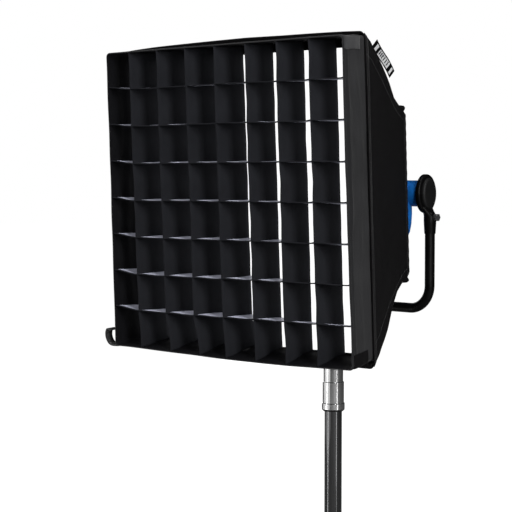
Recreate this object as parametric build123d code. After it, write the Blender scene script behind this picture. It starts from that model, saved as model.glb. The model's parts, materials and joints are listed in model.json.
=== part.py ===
from build123d import *

import math
import os

os.makedirs("parts", exist_ok=True)

# A square-fronted soft box with a fabric grid, on an LED panel lamp held in a yoke.
# The yoke turns on a short riser column that stands on its 28 mm spigot.
# Millimetres. +Z up, the light shines towards -Y, the origin is the shoulder of the lower spigot.
# Head, soft box and grid are drawn level, with the tilt axis through (0, 0, 0), and placed by HEAD.

# ---- driving dimensions -------------------------------------------------------------------
PIVOT_Z = 675.0  # height of the tilt axis
HEAD_DROOP = 2.8  # degrees the head points down at rest
FIT = 0.05  # radial clearance of a running fit
SKIN = 0.3  # gap between pieces that move past each other

# grid
GRID_W = 594.0
GRID_H = 575.0
GRID_FRONT = -333.0
GRID_BACK = -257.0
CELLS = 8
STRIP_T = 1.2
SLOT_W = 2.4
SKIRT_T = 2.0

# fabric bag
BAG_FRONT = -271.0
BAG_REAR = -33.0
BAG_FRONT_W = 611.0
BAG_FRONT_H = 596.0
BAG_REAR_W = 408.0
BAG_REAR_H = 320.0
BAG_WALL = 2.0
CLOTH_FRONT = -256.0
CLOTH_T = 1.5
HEM_ROD_R = 3.0
CORNER_ROD_R = 2.5

# lamp
FRAME_W = 398.0
FRAME_H = 310.0
FRAME_FRONT = -62.0
FRAME_REAR = -28.0
APERTURE_W = 355.0
APERTURE_H = 296.0
HOUSING_FRONT_W = 376.0
HOUSING_FRONT_H = 296.0
HOUSING_REAR = 105.0
COVER_W = 200.0
COVER_H = 220.0
COVER_T = 3.0
HOUSING_WALL = 2.5
FAN_Z = 42.0
FAN_SIZE = 92.0
FAN_BORE_R = 43.5
PANEL_Z = -38.0
SOCKET_Z = -88.0

# pivots and yoke
BOSS_R = 25.0
TILT_PIN_R = 6.0
PADDLE_IN = 222.0
PADDLE_OUT = 231.0
PADDLE_HALF_Y = 29.0
PADDLE_HALF_Z = 37.0
CAP_HALF_Y = 21.0
CAP_HALF_Z = 30.0
CAP_T = 6.5
ARM_X = 236.0
ARM_R = 9.5
ARM_WALL = 2.0
BAR_Z = 454.5
BEND_R = 45.0
NECK_R = 12.0
END_BOLT_Z = PIVOT_Z - 45.0

# riser column
COLUMN_R = 17.5
COLUMN_WALL = 2.5
COLUMN_TOP = 305.0
SPIGOT_R = 14.0
SPIGOT_L = 70.0
SOCKET_R = 19.75
SOCKET_BOTTOM = 251.5
SOCKET_FLOOR = 325.0
SOCKET_TOP = 430.0
SLEEVE_R = 21.5
SLEEVE_TOP = 294.5
RING_R = 23.0
RING_BOTTOM = 239.0
BUMPER_BOTTOM = 235.0
LOCK_Z = 385.0
LOCK_SCREW_R = 5.0

HEAD = Pos(0, 0, PIVOT_Z) * Rot(HEAD_DROOP, 0, 0)
BOTTOM = (Align.CENTER, Align.CENTER, Align.MIN)


# ---- shared shapes ------------------------------------------------------------------------
def save(name, *shapes):
    """Write one node. Several solids in it stay separate."""
    solids = [solid for shape in shapes for solid in shape.solids()]
    export_step(solids[0] if len(solids) == 1 else Compound(solids), f"parts/{name}.step")


def save_head(name, *shapes):
    """Write a node of the head, drawn level, in its place on the tilt axis."""
    save(name, *[HEAD * shape for shape in shapes])


def block(x_range, y_range, z_range):
    """A box between two values on each axis."""
    ranges = (x_range, y_range, z_range)
    size = [high - low for low, high in ranges]
    middle = [(high + low) / 2 for low, high in ranges]
    return Pos(*middle) * Box(*size)


def rod(start, end, radius):
    """A round bar between two points."""
    run = Vector(*end) - Vector(*start)
    return Plane(origin=start, z_dir=run) * Cylinder(radius, run.length, align=BOTTOM)


def upright(radius, z_low, z_high):
    """A round bar on the column's axis."""
    return Pos(0, 0, z_low) * Cylinder(radius, z_high - z_low, align=BOTTOM)


def section(y, width, height, corner=0.0):
    """A rectangle across the lamp's axis, with rounded corners if a radius is given."""
    outline = RectangleRounded(width, height, corner) if corner else Rectangle(width, height)
    return Plane.XZ.offset(-y) * outline


def slab(y_front, y_rear, width, height, corner=0.0):
    """A plate or block across the lamp's axis."""
    return extrude(section(y_rear, width, height, corner), amount=y_rear - y_front)


def taper(front, rear):
    """A straight-sided funnel between two sections."""
    return loft([front, rear], ruled=True)


def both_sides(shape):
    """The shape and its mirror image across the middle of the lamp."""
    return [shape, mirror(shape, about=Plane.YZ)]


def hexagon(across_flats):
    return RegularPolygon(radius=across_flats / 2, side_count=6, major_radius=False)


# ---- riser column -------------------------------------------------------------------------
SHOULDER_T = 3.0
PLUG_L = 40.0
GROOVE = (-60.0, -50.0)
EDGE = 1.0


def ring_on_column(radius, bore, z_low, z_high):
    """A turned collar with its upper edge chamfered."""
    body = upright(radius, z_low, z_high)
    body = chamfer(body.edges().sort_by(Axis.Z)[-1], EDGE)
    return body - upright(bore, z_low, z_high)


def riser_tube():
    outer = upright(COLUMN_R, SHOULDER_T, COLUMN_TOP)
    return outer - upright(COLUMN_R - COLUMN_WALL, SHOULDER_T, COLUMN_TOP)


def riser_spigot():
    """The lower spigot, its locking groove, the shoulder and the plug inside the tube."""
    pin = upright(SPIGOT_R, -SPIGOT_L, 0)
    pin = chamfer(pin.edges().sort_by(Axis.Z)[0], 2)
    groove = upright(SPIGOT_R, *GROOVE) - upright(SPIGOT_R - 2.5, *GROOVE)
    shoulder = upright(COLUMN_R, 0, SHOULDER_T)
    plug = upright(COLUMN_R - COLUMN_WALL, SHOULDER_T, PLUG_L)
    return pin - groove + shoulder + plug


def receiver_socket():
    """The chromed socket for the yoke's spigot, with the boss of the lock screw at the back."""
    body = upright(SOCKET_R, SOCKET_BOTTOM, SOCKET_TOP)
    body = chamfer(body.edges().sort_by(Axis.Z)[-1], EDGE)
    boss = rod((0, 0, LOCK_Z), (0, SOCKET_R + 16, LOCK_Z), 11)
    body = body + boss
    body -= upright(COLUMN_R, SOCKET_BOTTOM, COLUMN_TOP)
    body -= upright(SPIGOT_R + FIT, SOCKET_FLOOR, SOCKET_TOP)
    return body - rod((0, 0, LOCK_Z), (0, 2 * SOCKET_R, LOCK_Z), LOCK_SCREW_R + FIT)


def collar_bumper():
    """The rubber ring under the collar, with its lower edge bevelled."""
    body = upright(RING_R - 0.4, BUMPER_BOTTOM, RING_BOTTOM)
    body = chamfer(body.edges().sort_by(Axis.Z)[0], 2.5)
    return body - upright(COLUMN_R, BUMPER_BOTTOM, RING_BOTTOM)


def lock_handle():
    """The T handle and its screw, which presses on the yoke's spigot."""
    bar_y = 66.0
    reach = 30.0
    body = rod((0, SPIGOT_R + 0.4, LOCK_Z), (0, bar_y, LOCK_Z), LOCK_SCREW_R)
    body += rod((0, bar_y - 9, LOCK_Z), (0, bar_y + 7, LOCK_Z), 7.5)
    body += rod((-reach, bar_y, LOCK_Z), (reach, bar_y, LOCK_Z), 4)
    for side in (-1, 1):
        body += Pos(side * reach, bar_y, LOCK_Z) * Sphere(6)
    return body


def build_riser():
    save("riser_tube", riser_tube())
    save("riser_spigot", riser_spigot())
    save("receiver_socket", receiver_socket())
    save("collar_sleeve", ring_on_column(SLEEVE_R, SOCKET_R, SOCKET_BOTTOM, SLEEVE_TOP))
    save("collar_ring", ring_on_column(RING_R, COLUMN_R, RING_BOTTOM, SOCKET_BOTTOM))
    save("collar_bumper", collar_bumper())
    save("lock_handle", lock_handle())


# ---- yoke ---------------------------------------------------------------------------------
ARM_TOP = PIVOT_Z - 36.0
FLANGE_Z = SOCKET_TOP + SKIN
SADDLE_H = 34.0
SADDLE_BOTTOM = BAR_Z - SADDLE_H / 2
YOKE_PIN_BOTTOM = 330.0
CLAMP_BOLT_R = 5.0
CLAMP_BOLT_BOTTOM = 400.0
END_BOLT_R = 3.0
WASHER_T = 2.0


def yoke_tube():
    """One round tube, bent into two arms and a bar."""
    corners = [(-ARM_X, 0, ARM_TOP), (-ARM_X, 0, BAR_Z), (ARM_X, 0, BAR_Z), (ARM_X, 0, ARM_TOP)]
    path = FilletPolyline(*corners, radius=BEND_R)
    wall = Circle(ARM_R) - Circle(ARM_R - ARM_WALL)
    tube = sweep(Plane(origin=path @ 0, z_dir=path % 0) * wall, path=path)
    tube -= upright(CLAMP_BOLT_R, BAR_Z - SADDLE_H, BAR_Z + SADDLE_H)
    for hole in both_sides(rod((ARM_X, 0, END_BOLT_Z), (ARM_X + NECK_R, 0, END_BOLT_Z), END_BOLT_R)):
        tube -= hole
    return tube


def yoke_saddle():
    """The clamp block between the bar and the spigot."""
    body = Pos(0, 0, BAR_Z) * Box(64, 32, SADDLE_H)
    body = fillet(body.edges().filter_by(Axis.Z), 5)
    body -= rod((-40, 0, BAR_Z), (40, 0, BAR_Z), ARM_R)
    return body - upright(CLAMP_BOLT_R, SADDLE_BOTTOM, SADDLE_BOTTOM + SADDLE_H)


def yoke_spigot():
    pin = upright(SPIGOT_R, YOKE_PIN_BOTTOM, FLANGE_Z)
    pin = chamfer(pin.edges().sort_by(Axis.Z)[0], 2)
    body = pin + upright(SPIGOT_R + 5.5, FLANGE_Z, SADDLE_BOTTOM)
    return body - upright(CLAMP_BOLT_R, CLAMP_BOLT_BOTTOM, SADDLE_BOTTOM)


def yoke_bolt():
    top = SADDLE_BOTTOM + SADDLE_H
    head = Pos(0, 0, top) * extrude(hexagon(17), amount=6.4)
    return head + upright(CLAMP_BOLT_R, CLAMP_BOLT_BOTTOM, top)


def tilt_cap():
    """The oval cap over the pivot on the right, with a domed edge."""
    body = extrude(Plane.YZ.offset(PADDLE_OUT) * Ellipse(CAP_HALF_Y, CAP_HALF_Z), amount=CAP_T)
    return Pos(0, 0, PIVOT_Z) * fillet(body.edges().sort_by(Axis.X)[-1], 5)


def yoke_end():
    """The cast end of an arm: an oval paddle at the pivot and a socket round the tube."""
    paddle = Plane.YZ.offset(PADDLE_IN) * Ellipse(PADDLE_HALF_Y, PADDLE_HALF_Z)
    body = extrude(paddle, amount=PADDLE_OUT - PADDLE_IN)
    body = fillet(body.edges().sort_by(Axis.X)[-1], 4)
    socket_low = -76.0
    socket_middle = -52.0
    socket_high = -42.0
    mouth_r = ARM_R + 1.2
    socket = Pos(ARM_X, 0, socket_middle) * Cylinder(NECK_R, socket_high - socket_middle, align=BOTTOM)
    socket += Pos(ARM_X, 0, socket_low) * Cone(mouth_r, NECK_R, socket_middle - socket_low, align=BOTTOM)
    lower = Pos(ARM_X, 0, socket_high) * Circle(NECK_R)
    upper = Pos(PADDLE_IN + 5, 0, -22) * Ellipse(4.5, 16)
    neck = loft([lower, upper])
    body = Pos(0, 0, PIVOT_Z) * (body + socket + neck)
    body -= Pos(ARM_X, 0, ARM_TOP - 60) * Cylinder(ARM_R, 60, align=BOTTOM)
    body -= block((0, PADDLE_IN), (-50, 50), (PIVOT_Z - 90, PIVOT_Z + 50))
    body -= tilt_cap()
    body -= rod((PADDLE_IN, 0, PIVOT_Z), (PADDLE_OUT, 0, PIVOT_Z), TILT_PIN_R + FIT)
    return body - rod((ARM_X, 0, END_BOLT_Z), (ARM_X + NECK_R, 0, END_BOLT_Z), END_BOLT_R)


def end_bolt():
    """The hexagon bolt that holds a tube in its cast end."""
    face = ARM_X + NECK_R
    head = extrude(Plane.YZ.offset(face) * hexagon(13), amount=7)
    shank = rod((ARM_X, 0, 0), (face, 0, 0), END_BOLT_R)
    return Pos(0, 0, END_BOLT_Z) * (head + shank)


def friction_washer():
    body = rod((PADDLE_IN - WASHER_T, 0, PIVOT_Z), (PADDLE_IN, 0, PIVOT_Z), BOSS_R - 1)
    return body - rod((0, 0, PIVOT_Z), (PADDLE_IN, 0, PIVOT_Z), TILT_PIN_R + FIT)


def tilt_lever():
    """The clamping lever on the left, with its screw in the paddle's bore."""
    face = -(PADDLE_OUT + SKIN)
    back = face - 12.0
    reach = 84.0
    grip_x = (face + back) / 2 - 1
    body = rod((face, 0, 0), (back, 0, 0), 16)
    body = fillet(body.edges().sort_by(Axis.X)[0], 3)
    body += rod((face, 0, 0), (-(PADDLE_IN + 4.5), 0, 0), TILT_PIN_R)
    arm = loft([Pos(grip_x, 0, 8) * Rectangle(8, 18), Pos(grip_x, 0, reach) * Rectangle(7, 12)])
    body += arm + Pos(grip_x, 0, reach) * Sphere(7.5)
    return Pos(0, 0, PIVOT_Z) * Rot(-45, 0, 0) * body


def build_yoke():
    ends = both_sides(yoke_end())
    save("yoke_tube", yoke_tube())
    save("yoke_saddle", yoke_saddle())
    save("yoke_spigot", yoke_spigot())
    save("yoke_bolt", yoke_bolt())
    save("yoke_end_right", ends[0])
    save("yoke_end_left", ends[1])
    save("yoke_end_bolts", *both_sides(end_bolt()))
    save("tilt_cap", tilt_cap())
    save("friction_washers", *both_sides(friction_washer()))
    save("tilt_lever", tilt_lever())


# ---- lamp head ----------------------------------------------------------------------------
LIP = 5.0
LIP_T = 2.0
LED_PITCH = 32.0
LED_COLUMNS = 10
LED_ROWS = 8
BOARD_FRONT = -6.0
FIN_PITCH = 12.0
FINS_PER_SIDE = 11
VENTS_PER_SIDE = 4
VENT_PITCH = 24.0
COVER_BACK = HOUSING_REAR + COVER_T
PANEL_BACK = COVER_BACK + 4.0
KNOB_X = (18.0, 52.0)
KNOB_R = 11.0
KNOB_SHAFT_R = 3.0
BUTTON_X = 76.0
BUTTON_R = 4.5
WINDOW_X = -42.0
WINDOW_W = 62.0
WINDOW_H = 34.0
WINDOW_DEPTH = 1.5
INLET_X = -70.0
INLET_R = 11.5
DATA_X = (5.0, 40.0, 75.0)
DATA_R = 10.5
ROCKER_X = -32.0
ROCKER_W = 13.0
ROCKER_R = 9.5
LUG_Y = 120.0
LUG_Z = 97.0
LUG_HOLE_R = 6.5
SCREW_X = 92.0
SCREW_Z = (-102.0, -34.0, 34.0, 102.0)
PIN_INNER = 190.0


def front_frame():
    """The deep frame round the light opening, with a lip that keeps the diffuser in."""
    body = slab(FRAME_FRONT, FRAME_REAR, FRAME_W, FRAME_H, 8)
    body -= slab(FRAME_FRONT + LIP_T, FRAME_REAR, APERTURE_W, APERTURE_H)
    return body - slab(FRAME_FRONT, FRAME_FRONT + LIP_T, APERTURE_W - 2 * LIP, APERTURE_H - 2 * LIP)


def housing_solid():
    """The outer form of the tapering rear housing."""
    front = section(FRAME_REAR, HOUSING_FRONT_W, HOUSING_FRONT_H, 10)
    return taper(front, section(HOUSING_REAR, COVER_W, COVER_H, 10))


def lamp_housing():
    """The tapering housing as a shell, with air slots over the heat sink."""
    wall = 2 * HOUSING_WALL
    front = section(FRAME_REAR, HOUSING_FRONT_W - wall, HOUSING_FRONT_H - wall, 8)
    body = housing_solid() - taper(front, section(HOUSING_REAR, COVER_W - wall, COVER_H - wall, 8))
    for i in range(-VENTS_PER_SIDE, VENTS_PER_SIDE + 1):
        x = i * VENT_PITCH
        body -= block((x - 3, x + 3), (4, 40), (-160, 160))
    return body


def side_bracket():
    """The cast side plate with the round boss that turns against the yoke."""
    outline = Polygon((FRAME_REAR, -86), (-17, -72), (-12, -58), (-9, -38), (-9, 10), (-14, 22),
                      (FRAME_REAR, 26), align=None)
    plate = extrude(Plane.YZ.offset(HOUSING_FRONT_W / 2 + SKIN) * outline, amount=10.7)
    boss = rod((165, 0, 0), (PADDLE_IN - WASHER_T - SKIN, 0, 0), BOSS_R)
    body = plate + boss - housing_solid() - block((150, 230), (-60, FRAME_REAR), (-120, 120))
    return body - rod((PIN_INNER, 0, 0), (PADDLE_IN, 0, 0), TILT_PIN_R)


def tilt_pins():
    """The right pin runs through the paddle; the left one stops short of the lever's screw."""
    right = rod((PIN_INNER, 0, 0), (PADDLE_OUT - 0.5, 0, 0), TILT_PIN_R)
    left = rod((-PIN_INNER, 0, 0), (-(PADDLE_IN + 4), 0, 0), TILT_PIN_R)
    return right, left


def rear_cover():
    """The back plate: fan opening, holes for the controls and sockets, and the safety-cable lug."""
    body = slab(HOUSING_REAR, COVER_BACK, COVER_W, COVER_H, 10)
    lug = rod((-3, LUG_Y, LUG_Z), (3, LUG_Y, LUG_Z), 11)
    lug += block((-3, 3), (HOUSING_REAR, LUG_Y), (LUG_Z - 11, LUG_Z + 11))
    body += lug
    body -= rod((-4, LUG_Y, LUG_Z), (4, LUG_Y, LUG_Z), LUG_HOLE_R)
    holes = [(x, PANEL_Z, KNOB_SHAFT_R + FIT) for x in KNOB_X]
    holes += [(BUTTON_X, PANEL_Z, BUTTON_R + FIT), (0, FAN_Z, FAN_BORE_R), (INLET_X, SOCKET_Z, INLET_R)]
    holes += [(x, SOCKET_Z, DATA_R) for x in DATA_X]
    holes += [(side * SCREW_X, z, 2.0) for side in (-1, 1) for z in SCREW_Z]
    for x, z, radius in holes:
        body -= rod((x, HOUSING_REAR, z), (x, COVER_BACK, z), radius)
    rocker_slot = Pos(ROCKER_X, 0, SOCKET_Z) * slab(HOUSING_REAR, COVER_BACK, ROCKER_W + 0.6, 20)
    return body - rocker_slot


def fan_guard():
    """A stamped guard over the fan opening: a disc, three rings and four spokes."""
    outline = Circle(7)
    for radius in (17, 29, 41):
        outline += Circle(radius + 1.2) - Circle(radius - 1.2)
    for turn in (45, 135):
        outline += Rot(0, 0, turn) * Rectangle(94, 3)
    back_y = COVER_BACK + 2
    return Pos(0, 0, FAN_Z) * extrude(Plane.XZ.offset(-back_y) * outline, amount=2)


def lamp_diffuser():
    return slab(FRAME_FRONT + LIP_T, FRAME_FRONT + LIP_T + 3, APERTURE_W - 1, APERTURE_H - 1)


def light_box():
    """Four white walls that mix the light between the LED board and the diffuser."""
    y_front = FRAME_FRONT + LIP_T + 3.5
    y_rear = BOARD_FRONT - 0.2
    outer = taper(section(y_front, 352, 293), section(y_rear, 334, 274))
    return outer - taper(section(y_front, 349, 290), section(y_rear, 331, 271))


def led_board():
    return slab(BOARD_FRONT, BOARD_FRONT + 2, 324, 264)


def led_emitters():
    """Square LED packages in a regular field."""
    first_x = -LED_PITCH * (LED_COLUMNS - 1) / 2
    first_z = -LED_PITCH * (LED_ROWS - 1) / 2
    emitters = []
    for column in range(LED_COLUMNS):
        for row in range(LED_ROWS):
            place = Pos(first_x + LED_PITCH * column, 0, first_z + LED_PITCH * row)
            emitters.append(place * slab(BOARD_FRONT - 1.5, BOARD_FRONT, 9, 9))
    return emitters


def heat_sink():
    base_front = BOARD_FRONT + 2
    body = slab(base_front, base_front + 6, 324, 264)
    for i in range(-FINS_PER_SIDE, FINS_PER_SIDE + 1):
        body += Pos(i * FIN_PITCH, 0, 0) * slab(base_front + 6, base_front + 42, 2, 232)
    return body


def fan_frame():
    """The square fan body with its three struts and the pin that the rotor turns on."""
    y_front = 78.0
    body = slab(y_front, y_front + 25, FAN_SIZE, FAN_SIZE, 5)
    body -= rod((0, y_front, 0), (0, y_front + 25, 0), FAN_BORE_R)
    body += rod((0, y_front, 0), (0, y_front + 3, 0), 18)
    body += rod((0, y_front, 0), (0, y_front + 22, 0), 1.5)
    for turn in range(3):
        strut = block((0, FAN_BORE_R + 0.5), (y_front, y_front + 3), (-3, 3))
        body += Rot(0, 30 + 120 * turn, 0) * strut
    return Pos(0, 0, FAN_Z) * body


def fan_rotor():
    """The hub and its seven twisted blades."""
    y_front = 81.5
    y_rear = 100.5
    hub = rod((0, y_front, 0), (0, y_rear, 0), 18)
    body = fillet(hub.edges().sort_by(Axis.Y)[-1], 2)
    for turn in range(7):
        blade = Pos(28.5, (y_front + y_rear) / 2, 0) * Rot(38, 0, 0) * Box(26, 1.6, 20)
        body += Rot(0, 360 / 7 * turn, 0) * blade
    body = body & rod((0, y_front, 0), (0, y_rear, 0), FAN_BORE_R - 1.5)
    return Pos(0, 0, FAN_Z) * (body - rod((0, y_front - 1, 0), (0, y_rear + 1, 0), 1.5 + FIT))


def control_panel():
    """The raised panel with the window's recess and the holes for the knobs and the button."""
    body = slab(COVER_BACK, PANEL_BACK, 170, 54, 4)
    body -= Pos(WINDOW_X, 0, 0) * slab(PANEL_BACK - WINDOW_DEPTH, PANEL_BACK, WINDOW_W, WINDOW_H)
    for x in KNOB_X:
        body -= rod((x, COVER_BACK, 0), (x, PANEL_BACK, 0), KNOB_SHAFT_R + FIT)
    body -= rod((BUTTON_X, COVER_BACK, 0), (BUTTON_X, PANEL_BACK, 0), BUTTON_R + FIT)
    return Pos(0, 0, PANEL_Z) * body


def display_window():
    pane = slab(PANEL_BACK - WINDOW_DEPTH, PANEL_BACK - 0.1, WINDOW_W, WINDOW_H)
    return Pos(WINDOW_X, 0, PANEL_Z) * pane


def control_knob(x):
    """A turning knob with its shaft and grip flutes."""
    base = PANEL_BACK + 0.5
    cap = rod((0, base, 0), (0, base + 15, 0), KNOB_R)
    cap = fillet(cap.edges().sort_by(Axis.Y)[-1], 1.5)
    for turn in range(12):
        angle = math.radians(30 * turn)
        flute_x = (KNOB_R + 1) * math.cos(angle)
        flute_z = (KNOB_R + 1) * math.sin(angle)
        cap -= rod((flute_x, base, flute_z), (flute_x, base + 11, flute_z), 2)
    shaft = rod((0, base - 16, 0), (0, base, 0), KNOB_SHAFT_R)
    return Pos(x, 0, PANEL_Z) * (cap + shaft)


def menu_button():
    cap = rod((BUTTON_X, COVER_BACK - 8, PANEL_Z), (BUTTON_X, PANEL_BACK + 2.5, PANEL_Z), BUTTON_R)
    return fillet(cap.edges().sort_by(Axis.Y)[-1], 0.8)


def power_rocker():
    """The rocker of the mains switch, pressed in at its lower end."""
    body = rod((-ROCKER_W / 2, 0, 0), (ROCKER_W / 2, 0, 0), ROCKER_R)
    body = body & block((-ROCKER_W, ROCKER_W), (-6, 3), (-ROCKER_R, ROCKER_R))
    hollow = rod((-ROCKER_W, 22, 0), (ROCKER_W, 22, 0), 20.5)
    return Pos(ROCKER_X, HOUSING_REAR + 2, SOCKET_Z) * Rot(7, 0, 0) * (body - hollow)


def round_socket(x, barrel_r, depth, flange_w):
    """A panel socket: a flange, a barrel through the cover and a round recess."""
    body = slab(COVER_BACK, COVER_BACK + 2.5, flange_w, 30, 3)
    body += rod((0, COVER_BACK - depth, 0), (0, COVER_BACK, 0), barrel_r)
    body -= rod((0, COVER_BACK - depth + 5, 0), (0, COVER_BACK + 2.5, 0), barrel_r - 2)
    return Pos(x, 0, SOCKET_Z) * body


def cover_screws():
    """Button heads round the edge of the back plate."""
    screws = []
    for side in (-1, 1):
        for z in SCREW_Z:
            x = side * SCREW_X
            head = rod((x, COVER_BACK, z), (x, COVER_BACK + 2, z), 3.5)
            head = fillet(head.edges().sort_by(Axis.Y)[-1], 1)
            screws.append(head + rod((x, HOUSING_REAR, z), (x, COVER_BACK, z), 2))
    return screws


def build_head():
    brackets = both_sides(side_bracket())
    save_head("front_frame", front_frame())
    save_head("lamp_housing", lamp_housing())
    save_head("side_bracket_right", brackets[0])
    save_head("side_bracket_left", brackets[1])
    save_head("tilt_pins", *tilt_pins())
    save_head("rear_cover", rear_cover())
    save_head("fan_guard", fan_guard())
    save_head("lamp_diffuser", lamp_diffuser())
    save_head("light_box", light_box())
    save_head("led_board", led_board())
    save_head("led_emitters", *led_emitters())
    save_head("heat_sink", heat_sink())
    save_head("fan_frame", fan_frame())
    save_head("fan_rotor", fan_rotor())
    save_head("power_supply", block((-80, 80), (44, 74), (-104, -20)))
    save_head("control_board", block((-80, 80), (93, 94.6), (-62, -14)))
    save_head("control_panel", control_panel())
    save_head("display_window", display_window())
    save_head("intensity_knob", control_knob(KNOB_X[0]))
    save_head("colour_knob", control_knob(KNOB_X[1]))
    save_head("menu_button", menu_button())
    save_head("power_rocker", power_rocker())
    save_head("power_inlet", round_socket(INLET_X, INLET_R, 24, 30))
    save_head("data_sockets", *[round_socket(x, DATA_R, 20, 26) for x in DATA_X])
    save_head("cover_screws", *cover_screws())


# ---- fabric bag ---------------------------------------------------------------------------
CORNERS = ((-1, 1), (1, 1), (1, -1), (-1, -1))
JOINER = 16.0
JOINER_X = 283.0
JOINER_Z = 268.0
JOINER_FRONT = -253.8
JOINER_REAR = -243.0
HEM_ROD_Y = -250.0
SOCKET_X = 190.0
SOCKET_Z_HEAD = 146.0
ADAPTER_GAP = 1.0
FLANGE_FRONT = FRAME_FRONT - SKIN - 2.0
SOCKET_FRONT = FLANGE_FRONT - 12.0
TAG_SPAN = (0.42, 0.825)
TAG_HEIGHT = 17.0


def bag_half_size(y):
    """Half width and half height of the bag's outside at one depth."""
    share = (BAG_REAR - y) / (BAG_REAR - BAG_FRONT)
    half_w = (BAG_REAR_W + (BAG_FRONT_W - BAG_REAR_W) * share) / 2
    half_h = (BAG_REAR_H + (BAG_FRONT_H - BAG_REAR_H) * share) / 2
    return half_w, half_h


def wall_section(y, first, last):
    """A wall's cut at one depth, mitred at the two corners it runs between."""
    half_w, half_h = bag_half_size(y)
    outer = [(sx * half_w, y, sz * half_h) for sx, sz in (first, last)]
    inner = [(sx * (half_w - BAG_WALL), y, sz * (half_h - BAG_WALL)) for sx, sz in (last, first)]
    return make_face(Polyline(*outer, *inner, close=True))


def bag_wall(index):
    first = CORNERS[index]
    last = CORNERS[(index + 1) % len(CORNERS)]
    return taper(wall_section(BAG_FRONT, first, last), wall_section(BAG_REAR, first, last))


def bag_solid():
    """The whole outer form of the bag, longer at the back for trimming what sits on it."""
    y_rear = BAG_REAR + 20
    half_w, half_h = bag_half_size(y_rear)
    front = section(BAG_FRONT, BAG_FRONT_W, BAG_FRONT_H)
    return taper(front, section(y_rear, 2 * half_w, 2 * half_h))


def adapter_frame():
    """The stiff frame at the back: a flange on the lamp's face and a sleeve round it."""
    sleeve_w = FRAME_W + 2 * ADAPTER_GAP
    sleeve_h = FRAME_H + 2 * ADAPTER_GAP
    outer_w = BAG_REAR_W - 2 * BAG_WALL - 0.2
    outer_h = BAG_REAR_H - 2 * BAG_WALL - 0.2
    body = slab(FLANGE_FRONT, BAG_REAR, outer_w, outer_h, 4)
    body -= slab(FRAME_FRONT - SKIN, BAG_REAR, sleeve_w, sleeve_h, 3)
    body -= slab(FLANGE_FRONT, BAG_REAR, 360, 300)
    for sx, sz in CORNERS:
        lug = slab(SOCKET_FRONT, FLANGE_FRONT, JOINER, 12)
        body += Pos(sx * SOCKET_X, 0, sz * (SOCKET_Z_HEAD + 5)) * lug
    return body


def corner_joiners():
    """Four blocks that take the ends of the rods at the front corners."""
    block_at = slab(JOINER_FRONT, JOINER_REAR, JOINER, JOINER, 2)
    return [Pos(sx * JOINER_X, 0, sz * JOINER_Z) * block_at for sx, sz in CORNERS]


def corner_rods():
    """Sprung rods along the four sloping seams, from the adapter's lugs to the joiners."""
    rods = []
    for sx, sz in CORNERS:
        start = (sx * SOCKET_X, SOCKET_FRONT, sz * (SOCKET_Z_HEAD + 5))
        end = (sx * JOINER_X, JOINER_REAR, sz * JOINER_Z)
        rods.append(rod(start, end, CORNER_ROD_R) & slab(JOINER_REAR, SOCKET_FRONT, 700, 700))
    return rods


def front_rods():
    """Rods in the front hem, between the joiners."""
    x_end = JOINER_X - JOINER / 2
    z_end = JOINER_Z - JOINER / 2
    rods = []
    for side in (-1, 1):
        z = side * JOINER_Z
        x = side * JOINER_X
        rods.append(rod((-x_end, HEM_ROD_Y, z), (x_end, HEM_ROD_Y, z), HEM_ROD_R))
        rods.append(rod((x, HEM_ROD_Y, -z_end), (x, HEM_ROD_Y, z_end), HEM_ROD_R))
    return rods


def front_diffuser():
    """The white cloth behind the bag's front hem, in front of the rods."""
    half_w, half_h = bag_half_size(CLOTH_FRONT)
    inset = BAG_WALL + 1
    return slab(CLOTH_FRONT, CLOTH_FRONT + CLOTH_T, 2 * (half_w - inset), 2 * (half_h - inset))


def corner_ears():
    """Small folded ends of the seams at the four rear corners."""
    ears = []
    for sx, sz in CORNERS:
        ear = Pos(sx * 207, 0, sz * 163) * slab(BAG_REAR - 12, BAG_REAR, 14, 14, 3)
        ears.append(ear - bag_solid())
    return ears


def seam_point(share, out):
    """A point along the upper right seam, from back (0) to front (1), set outwards diagonally."""
    y = BAG_REAR + (BAG_FRONT - BAG_REAR) * share
    half_w, half_h = bag_half_size(y)
    step = out / math.sqrt(2)
    return half_w + step, y, half_h + step


def side_tag():
    """The flat label caught in the upper right seam."""
    near, far = TAG_SPAN
    corners = [seam_point(near, 1), seam_point(far, 1), seam_point(far, TAG_HEIGHT),
               seam_point(near, TAG_HEIGHT)]
    return extrude(make_face(Polyline(*corners, close=True)), amount=1)


def build_bag():
    for index, name in enumerate(("bag_top", "bag_right", "bag_bottom", "bag_left")):
        save_head(name, bag_wall(index))
    save_head("adapter_frame", adapter_frame())
    save_head("corner_joiners", *corner_joiners())
    save_head("corner_rods", *corner_rods())
    save_head("front_rods", *front_rods())
    save_head("front_diffuser", front_diffuser())
    save_head("corner_ears", *corner_ears())
    save_head("side_tag", side_tag())


# ---- grid ---------------------------------------------------------------------------------
STRIP_FRONT = GRID_FRONT + 0.5
STRIP_BACK = GRID_BACK - 0.5
STRIP_MIDDLE = (STRIP_FRONT + STRIP_BACK) / 2
INNER_W = GRID_W - 2 * SKIRT_T
INNER_H = GRID_H - 2 * SKIRT_T
PATCH = (45.0, 22.0)
TAB_W = 18.0


def cell_lines(size):
    """The places of the strips between the cells."""
    return [size * (i / CELLS - 0.5) for i in range(1, CELLS)]


def upright_strip(x):
    """A strip with a slot from the back at each crossing."""
    body = Pos(x, 0, 0) * slab(STRIP_FRONT, STRIP_BACK, STRIP_T, INNER_H - 0.4)
    for z in cell_lines(GRID_H):
        body -= Pos(x, 0, z) * slab(STRIP_MIDDLE - 0.2, STRIP_BACK, 2 * STRIP_T, SLOT_W)
    return body


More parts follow.
